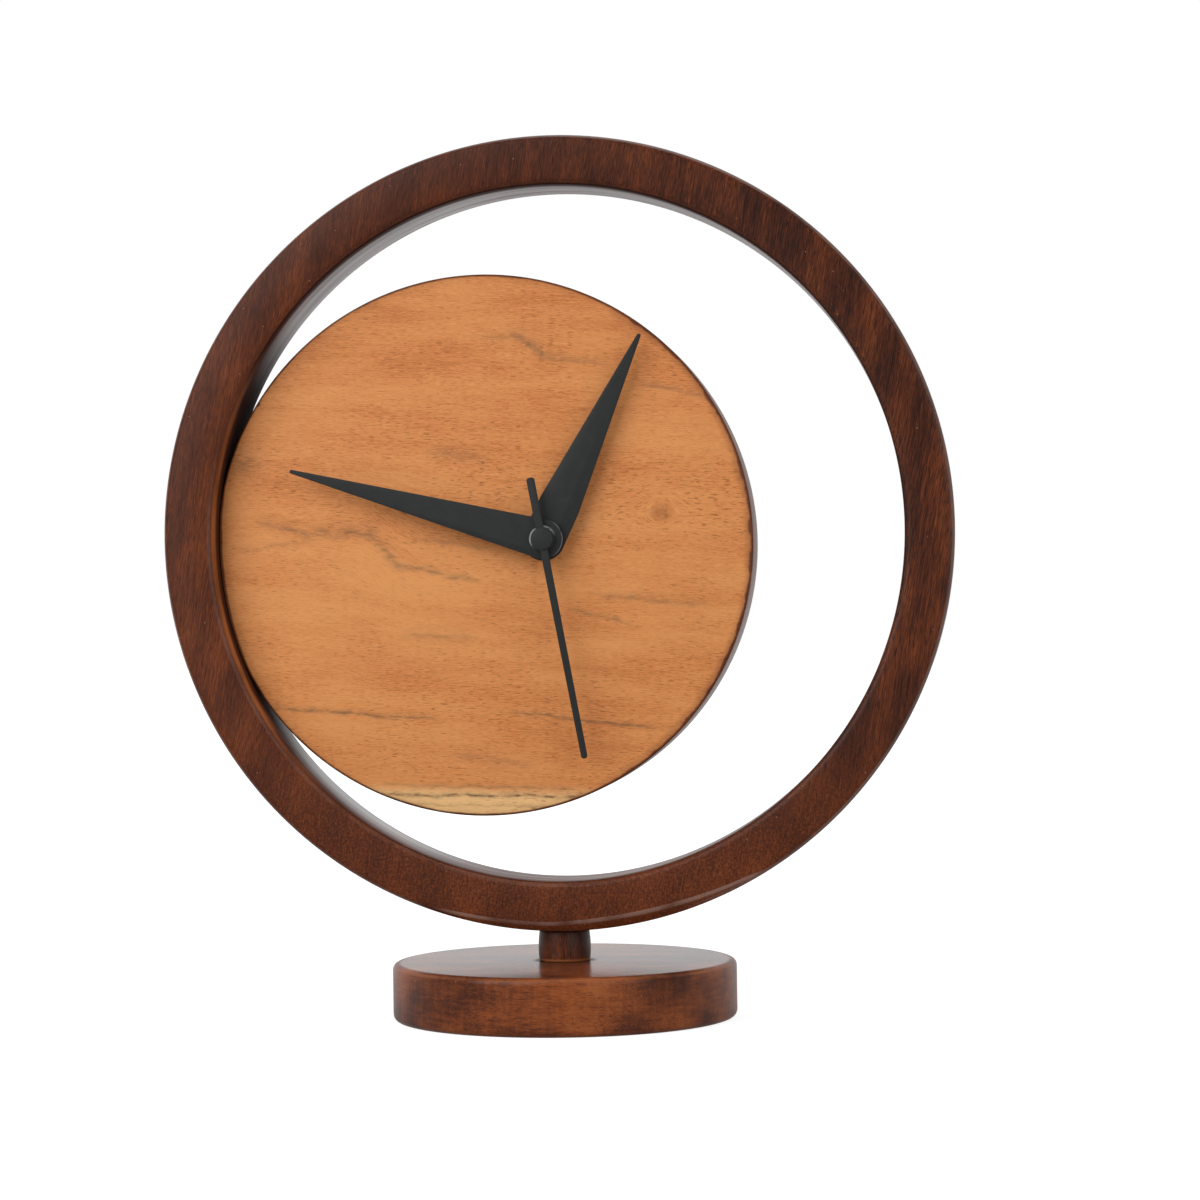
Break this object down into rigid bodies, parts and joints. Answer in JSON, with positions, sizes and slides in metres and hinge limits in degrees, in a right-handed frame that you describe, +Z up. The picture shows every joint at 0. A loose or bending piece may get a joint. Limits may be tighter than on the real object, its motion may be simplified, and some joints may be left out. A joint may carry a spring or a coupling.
{
  "type": "table clock",
  "caption": "Free-standing wooden table clock: a dark ring on a round foot carries an offset pale dial disc with hour, minute and second hands and a battery quartz movement.",
  "frame": {"origin": "centre of the foot's underside, on the surface that the clock stands on", "axes": "+Z up, +X to the right and +Y to the back for someone who reads the clock; the hand spindle runs along Y"},
  "size_m": [0.25, 0.109, 0.2782],
  "materials": {
    "dark_wood": "dark stain under glossy lacquer",
    "pale_wood": "oiled, satin",
    "peg_wood": "plain",
    "hand_black": "matt black paint",
    "brass": "turned",
    "steel": "plain",
    "case_black": "fine moulded grain",
    "wheel_white": "moulded",
    "wheel_yellow": "moulded",
    "bobbin_cream": "moulded",
    "board_green": "coated laminate",
    "chip_black": "cast resin",
    "rubber": "matt",
    "copper": "enamelled wire",
    "magnet": "sintered",
    "cell_sleeve": "plain sleeve, no lettering"
  },
  "bodies": {
    "clock_frame": {"foot_disc": "dark_wood", "neck_dowel": "dark_wood", "foot_screw": "steel", "ring_frame": "dark_wood", "dial_peg_upper": "peg_wood", "dial_peg_lower": "peg_wood", "dial_disc": "pale_wood", "rubber_gasket": "rubber", "dial_washer": "brass", "fixing_nut": "brass", "threaded_bushing": "brass", "movement_case": "case_black", "back_cover": "case_black", "gear_bridge": "bobbin_cream", "stator": "steel", "coil_core": "steel", "coil_bobbin": "bobbin_cream", "coil_winding": "copper", "circuit_board": "board_green", "clock_chip": "chip_black", "quartz_crystal": "steel", "bridge_screw_1": "steel", "bridge_screw_2": "steel", "bridge_screw_3": "steel", "positive_contact": "steel", "negative_contact": "steel"},
    "minute_train": {"centre_wheel": "wheel_yellow", "minute_hand": "hand_black"},
    "hour_train": {"hour_wheel": "wheel_white", "hour_hand": "hand_black"},
    "second_train": {"seconds_wheel": "wheel_white", "second_hand": "hand_black"},
    "third_train": {"third_wheel": "wheel_white"},
    "intermediate_train": {"intermediate_wheel": "wheel_yellow"},
    "rotor": {"rotor_pinion": "wheel_white", "rotor_magnet": "magnet"},
    "setting_train": {"motion_wheel": "wheel_white", "setting_knob": "case_black"},
    "battery": {"battery_cell": "cell_sleeve"}
  },
  "joints": [
    {"name": "minute_turn", "type": "hinge", "parent": "clock_frame", "child": "minute_train", "pos_m": [-0.00404, 0, 0.15138], "axis": [0, 1, 0], "continuous": true},
    {"name": "hour_turn", "type": "hinge", "parent": "clock_frame", "child": "hour_train", "pos_m": [-0.00404, 0, 0.15138], "axis": [0, 1, 0], "continuous": true},
    {"name": "second_turn", "type": "hinge", "parent": "clock_frame", "child": "second_train", "pos_m": [-0.00404, 0, 0.15138], "axis": [0, 1, 0], "continuous": true},
    {"name": "third_turn", "type": "hinge", "parent": "clock_frame", "child": "third_train", "pos_m": [-0.01344, 0, 0.15138], "axis": [0, 1, 0], "continuous": true},
    {"name": "intermediate_turn", "type": "hinge", "parent": "clock_frame", "child": "intermediate_train", "pos_m": [-0.00404, 0, 0.16098], "axis": [0, 1, 0], "continuous": true},
    {"name": "rotor_turn", "type": "hinge", "parent": "clock_frame", "child": "rotor", "pos_m": [-0.01096, 0, 0.16498], "axis": [0, 1, 0], "continuous": true},
    {"name": "setting_turn", "type": "hinge", "parent": "clock_frame", "child": "setting_train", "pos_m": [0.00503, 0, 0.15561], "axis": [0, 1, 0], "continuous": true},
    {"name": "battery_pull", "type": "slide", "parent": "clock_frame", "child": "battery", "axis": [0, 1, 0], "range_m": [0, 0.018]}
  ],
  "couplings": [
    {"joint": "hour_turn", "follows": "minute_turn", "ratio": 0.083333},
    {"joint": "second_turn", "follows": "minute_turn", "ratio": 60},
    {"joint": "third_turn", "follows": "minute_turn", "ratio": -8},
    {"joint": "intermediate_turn", "follows": "minute_turn", "ratio": -360},
    {"joint": "rotor_turn", "follows": "minute_turn", "ratio": 1800},
    {"joint": "setting_turn", "follows": "minute_turn", "ratio": -0.33333}
  ]
}
